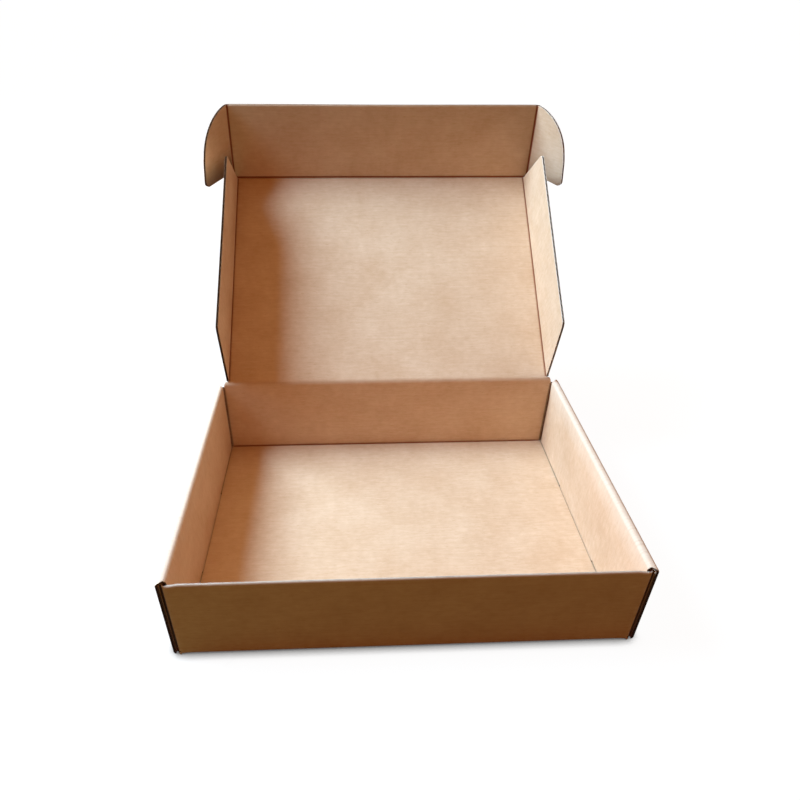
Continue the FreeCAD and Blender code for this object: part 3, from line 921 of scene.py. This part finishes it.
def make_lid():
    """Lid panel between its four creases."""
    edge = DUST_LINE - FLAP_STRIP
    place = flat(HINGE - BLANK_HINGE * LID_ALONG, X_AXIS, LID_ALONG)
    make_panel("lid", [Patch(place, (BLANK_HINGE + HINGE_STRIP, BLANK_TUCK - FLAP_STRIP), -edge,
                             edge, ALL_CLOSED, columns=16, bow=lid_bow)])


def ear_line(along):
    """Half width of the tuck flap out to the ears' creases."""
    return EAR_MIDDLE[0] + (EAR_HALF_WAY - along) * math.tan(TUCK_TAPER)


def tuck_edge(b):
    """Half width of the tuck flap's flat part, between the strips that bend."""
    along = b - BLANK_TUCK
    return ear_line(along) - np.where(along < EAR_ROOT - 0.05 * MM, 0, FLAP_STRIP)


def make_tuck():
    """Tuck flap along the lid's front."""
    place = flat(TUCK_HINGE - BLANK_TUCK * TUCK_ALONG, X_AXIS, TUCK_ALONG)
    rows = (BLANK_TUCK + FLAP_STRIP, BLANK_TUCK + TUCK_HEIGHT)

    def bow(a, b):
        along = ramp(b - BLANK_TUCK, FLAP_STRIP, TUCK_HEIGHT)
        return TUCK_BOW * along * np.cos(a * 9.5) * bump(a, EAR_MIDDLE[0] - 3 * MM)
    make_panel("tuck_flap", [Patch(place, rows, mirrored(tuck_edge), tuck_edge,
                                   {**ALL_CLOSED, "b_high": True},
                                   row_stops=BLANK_TUCK + np.array([EAR_ROOT - 0.1 * MM, EAR_ROOT]),
                                   columns=16, bow=bow, pinch=0.6)])


def edge_painted_light(base, edge, side):
    """Painted highlight on the outer edges on the right, painted shade on the left ones."""
    def wear(a, b):
        reach = np.abs(a) - base
        return EDGE_PAINTED_LIGHT[side] * ramp(reach, edge(b) - 1.0 * MM, edge(b) - 0.2 * MM)
    return wear


def leaning(origin, base, out, axis, normal):
    """Places on a flap that leans from its crease, which is this far from the blank's middle."""
    def place(a, b, w):
        reach = np.abs(a) - base
        return origin + reach[..., None] * out + b[..., None] * axis + w[..., None] * normal
    return place


def make_flap(name, side, place, rows, base, edge, stops, bow, shade=None):
    """Panel beyond a crease that runs along b, out to its cut edge."""
    near, far = edge_names(side)
    inner, outer = base + FLAP_STRIP, lambda b: base + edge(b)
    limits = (inner, outer) if side > 0 else (mirrored(outer), -inner)
    make_panel(name, [Patch(place, rows, *limits, {near: closed, far: True, **BOTH_ENDS},
                            row_stops=stops, bow=bow, wear=edge_painted_light(base, edge, side),
                            shade=shade)])


def ear_edge(b, side):
    """How far an ear reaches from its crease: a quarter round above a hooked tip."""
    along = b - BLANK_TUCK
    centre = EAR_END - EAR_REACH
    above = np.clip(along - centre, 0, EAR_REACH)
    round_reach = np.sqrt(np.maximum(EAR_REACH ** 2 - above ** 2, 0))
    tip = EAR_LOWER + EAR_SLANT[side]
    flare = EAR_FLARE * (1 - ramp_line(along, tip + 4 * MM, centre + 10 * MM))
    below = np.clip(tip + EAR_HOOK - along, 0, EAR_HOOK)
    hook = EAR_HOOK - np.sqrt(np.maximum(EAR_HOOK ** 2 - below ** 2, 0))
    lower = np.interp(along, [EAR_ROOT, EAR_LOWER, tip],
                      [FLAP_STRIP + 1.2 * MM, 9 * MM, EAR_REACH + EAR_FLARE - EAR_HOOK])
    return np.where(along < tip, lower, round_reach + flare - hook)


def turned(vector, axis, angle):
    """A direction turned about an axis."""
    return np.array(Matrix.Rotation(angle, 3, Vector(axis)) @ Vector(vector))


def make_ear(side):
    """Ear on the left (-1) or right (1) edge of the tuck flap."""
    name = WORDS[side] + "_ear"
    axis = side * np.array(joints[name + "_hinge"]["axis"])
    middle = pivot(name + "_hinge")
    flat_out = np.cross(axis, TUCK_UP) * side
    out = turned(flat_out, axis, -side * EAR_FOLDS[side])
    place = leaning(middle - axis * (BLANK_TUCK + EAR_HALF_WAY), EAR_MIDDLE[0], out, axis,
                    np.cross(out, axis) * side)

    def bow(a, b):
        reach = ramp_line(np.abs(a) - EAR_MIDDLE[0], FLAP_STRIP, EAR_REACH)
        low = ramp(b - BLANK_TUCK, EAR_LOWER + 8 * MM, EAR_LOWER)
        return EAR_BOW * reach ** 2 - EAR_CURL * low * ramp(reach, 0.1, 0.6)

    def shade(b):
        return EAR_SHADE[side] * ramp(b - BLANK_TUCK, EAR_SHADE_TOP, EAR_LOWER + 2 * MM)

    tip = EAR_LOWER + EAR_SLANT[side]
    stops = np.array([EAR_LOWER, tip, tip + 0.15 * MM, tip + 0.6 * MM, EAR_END - 0.3 * MM,
                      EAR_END - 0.7 * MM]) + BLANK_TUCK
    make_flap(name, side, place, (BLANK_TUCK + EAR_ROOT, BLANK_TUCK + EAR_END - 0.1 * MM),
              EAR_MIDDLE[0], lambda b: ear_edge(b, side), stops, bow, shade)
    return axis, middle, flat_out


def dust_edge(b):
    """How far a dust flap stands from its hinge line: tapered at both ends, corners rounded."""
    low, high = DUST_ROUND[0], DUST_HEIGHT - 0.5 * MM
    heights = [0, DUST_HEIGHT + low * DUST_REAR_SLOPE, high, DUST_HEIGHT, DUST_HEIGHT, high,
               DUST_HEIGHT + low * DUST_FRONT_SLOPE, 0]
    return np.interp(b - BLANK_HINGE, [DUST_START, *DUST_CORNERS, DUST_END], heights)


def make_dust_flap(side):
    """Dust flap on the left (-1) or right (1) edge of the lid."""
    name = WORDS[side] + "_dust_flap"
    middle = pivot(name + "_hinge")
    out = turned(side * X_AXIS, LID_ALONG, -side * DUST_FOLD)
    normal = turned(LID_UP, LID_ALONG, -side * DUST_FOLD)
    origin = middle - LID_ALONG * (BLANK_HINGE + LID_LENGTH / 2) - normal * DUST_RISE

    def bow(a, b):
        reach = ramp_line(np.abs(a) - DUST_LINE, FLAP_STRIP, DUST_HEIGHT)
        return DUST_BOW * reach ** 2 * (1 + np.sin((b - BLANK_HINGE) * 15 + side))

    inset = FLAP_STRIP + 0.4 * MM
    start = BLANK_HINGE + DUST_START + inset / DUST_REAR_SLOPE
    end = BLANK_HINGE + DUST_END - inset / DUST_FRONT_SLOPE
    make_flap(name, side, leaning(origin, DUST_LINE, out, LID_ALONG, normal), (start, end),
              DUST_LINE, dust_edge, BLANK_HINGE + DUST_CORNERS, bow)


# ---- creases that bend
def strip_fold(middle, coordinate, depth=1.0):
    """Crush of a strip, deepest at its own fold."""
    def fold(a, b):
        return depth * bump((np.abs(a) if coordinate == "a" else b) - middle, FOLD_REACH)
    return fold


def bend(half, angle, radius):
    """End view of a strip that bends, and how much longer its blank is than the bend."""
    line = FoldLine([(-half, 0), (0, 0), (half * math.cos(angle), half * math.sin(angle))], radius)
    return line, 2 * half / line.length


def blend_strip(name, patch):
    """The strip's piece, built where it lies, with its transform baked into the mesh."""
    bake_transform(make_piece(name, [patch]))


def make_cross_strip(name, hinge, before, up_before, after, half, blank, outline, radius,
                     depth=1.0):
    """Crease across the box between two panels, each given by its direction from the hinge.

    The outline is pairs: how far along the blank from the crease, and the half width there.
    """
    line, stretch = bend(half, math.atan2(after @ up_before, after @ -before), radius)
    lengths, widths = np.array(outline).T
    edge = lambda b: np.interp(b, blank + lengths, widths)

    def place(a, b, w):
        ahead, up = line.at((b - blank + half) / stretch, w)
        return hinge + a[..., None] * X_AXIS - ahead[..., None] * before + up[..., None] * up_before

    stops = list(blank - half + np.array(line.stops) * stretch) + list(blank + lengths[1:-1])
    patch = Patch(place, (blank - half, blank + half), mirrored(edge), edge,
                  {**ALL_CLOSED, **BOTH_SIDES}, row_stops=stops, columns=16,
                  fold=strip_fold(blank, "b", depth))
    blend_strip(name, patch)


def make_side_strip(name, corner, axis, before, up_before, angle, half, blank_a, blank_b,
                    rows, side):
    """Crease along the side of a panel, with the corner where the two panels' middles meet."""
    line, stretch = bend(half, angle, FLAP_FOLD_RADIUS)

    def place(a, b, w):
        ahead, up = line.at((np.abs(a) - blank_a + half) / stretch, w)
        return (corner + (b - blank_b)[..., None] * axis + ahead[..., None] * before
                + up[..., None] * up_before)

    stops = signed_stops(side, blank_a - half + np.array(line.stops + [line.length]) * stretch)
    patch = Patch(place, rows, *signed(side, blank_a - half, blank_a + half),
                  {**ALL_CLOSED, **BOTH_ENDS}, stops, fold=strip_fold(blank_a, "a"))
    blend_strip(name, patch)


def make_cross_creases():
    """The strips at the lid's hinge and at the tuck flap's."""
    down = np.array([0, 0, -1.0])
    inward = np.array([0, -1.0, 0])
    root = DUST_LINE - FLAP_STRIP
    outline = [(-HINGE_STRIP, HINGE_HALF), (-0.6 * MM, HINGE_HALF - MM),
               (1.2 * MM, HINGE_HALF - 2 * MM), (DUST_START - 0.05 * MM, DUST_LINE),
               (DUST_START, root), (HINGE_STRIP, root)]
    make_cross_strip("lid_crease", HINGE, down, inward, LID_ALONG, HINGE_STRIP,
                     BLANK_HINGE, outline, HINGE_RADIUS, depth=0.1)
    free = DUST_END - LID_LENGTH
    outline = [(-FLAP_STRIP, root), (free + 0.05 * MM, root), (free + 0.15 * MM, DUST_LINE + 1.6 * MM),
               (-0.2 * MM, DUST_LINE + 2 * MM), (0.6 * MM, ear_line(0)), (FLAP_STRIP, ear_line(0))]
    make_cross_strip("tuck_crease", TUCK_HINGE, -LID_ALONG, LID_UP, TUCK_ALONG,
                     FLAP_STRIP, BLANK_TUCK, outline, TUCK_RADIUS)


def make_side_creases(ears):
    """The strips at the hinges of the ears and of the dust flaps."""
    for side, (axis, middle, flat_out) in ears.items():
        word = WORDS[side]
        make_side_strip(word + "_ear_crease", middle, axis, flat_out,
                        TUCK_UP, EAR_FOLDS[side], FLAP_STRIP, EAR_MIDDLE[0],
                        BLANK_TUCK + EAR_HALF_WAY, (BLANK_TUCK + EAR_ROOT, BLANK_TUCK + EAR_END),
                        side)
        corner = HINGE + side * X_AXIS * (DUST_LINE + DUST_RISE) - LID_ALONG * BLANK_HINGE
        make_side_strip(word + "_dust_crease", corner, LID_ALONG,
                        side * X_AXIS, LID_UP, DUST_FOLD, FLAP_STRIP + DUST_RISE, DUST_LINE, 0,
                        (BLANK_HINGE + DUST_START, BLANK_HINGE + DUST_END), side)


# ---- floor, light and camera
def make_floor():
    """Large white floor: it keeps a faint cast shadow, and painted contact shade where the object
    stands.
    """
    mesh = bpy.data.meshes.new("floor")
    corners = [(x * FLOOR_REACH, y * FLOOR_REACH, 0) for x, y in ((-1, -1), (1, -1), (1, 1), (-1, 1))]
    mesh.from_pydata(corners, [], [(0, 1, 2, 3)])
    material = bpy.data.materials.new("floor_paper")
    nodes = Nodes(material)
    place = nodes.add("NewGeometry").outputs["Position"]
    away = nodes.add("VectorMath", {"operation": "LENGTH"}, Vector=place).outputs["Value"]
    open_sky = nodes.add("AmbientOcclusion", {"samples": 8}, Distance=CONTACT_REACH).outputs["AO"]
    # the glow is dimmed near the object as painted contact shade
    glow = nodes.times(nodes.remap(away, 0.25, 0.75, FLOOR_WHITE, 1.0),
                       nodes.remap(open_sky, 0.35, 0.9, CONTACT_WHITE, 1.0))
    shadow = nodes.add("BsdfDiffuse", Color=FLOOR_SHADOW)
    white = nodes.add("Emission", Color=WHITE, Strength=glow)
    bounce = nodes.add("BsdfDiffuse", Color=FLOOR_BOUNCE)
    choose = nodes.join("MixShader", bounce, nodes.join("AddShader", shadow, white),
                        Fac=nodes.seen_directly())
    nodes.add("OutputMaterial", Surface=choose.outputs[0])
    mesh.materials.append(material)
    add_object("floor", mesh)


def make_world():
    """White to look at, and a weak warm fill for the object."""
    world = bpy.data.worlds.new("studio")
    bpy.context.scene.world = world
    nodes = Nodes(world)
    fill = nodes.add("Background", Color=WARM_SKY, Strength=1.0)
    white = nodes.add("Background", Color=WHITE, Strength=1.0)
    choose = nodes.join("MixShader", fill, white, Fac=nodes.seen_directly())
    nodes.add("OutputWorld", Surface=choose.outputs[0])


def make_lamp(name, towards, distance, size, watts, colour):
    """Round soft lamp that shines at the aim from one direction."""
    lamp = bpy.data.lights.new(name, "AREA")
    lamp.shape = "DISK"
    lamp.size = size
    lamp.energy = watts
    lamp.color = colour
    light = add_object(name, lamp)
    towards = Vector(towards).normalized()
    light.location = Vector(AIM) + towards * distance
    light.rotation_mode = "QUATERNION"
    light.rotation_quaternion = towards.to_track_quat("Z", "Y")


def make_camera():
    """Camera at the front, looking down into the tray."""
    data = bpy.data.cameras.new("camera")
    camera = add_object("camera", data)
    level = math.cos(CAMERA_HEIGHT)
    back = Vector((math.sin(CAMERA_TURN) * level, -math.cos(CAMERA_TURN) * level,
                   math.sin(CAMERA_HEIGHT)))
    right = Vector((0, 0, 1)).cross(back).normalized()
    up = back.cross(right)
    rolled = right * math.cos(CAMERA_ROLL) + up * math.sin(CAMERA_ROLL)
    facing = Matrix((rolled, back.cross(rolled), back)).transposed().to_4x4()
    camera.matrix_world = Matrix.Translation(CAMERA_PLACE) @ facing
    data.sensor_width = 36.0
    data.lens = CAMERA_LENS
    data.shift_x = CAMERA_SHIFT
    data.clip_start = 0.01
    data.clip_end = 200.0
    bpy.context.scene.camera = camera


make_tray()
make_lid()
make_tuck()
ears = {side: make_ear(side) for side in SIDES}
for side in SIDES:
    make_dust_flap(side)
make_cross_creases()
make_side_creases(ears)
make_floor()
make_world()
for lamp in LAMPS:
    make_lamp(*lamp)
make_camera()
bpy.context.scene.view_settings.view_transform = "Standard"
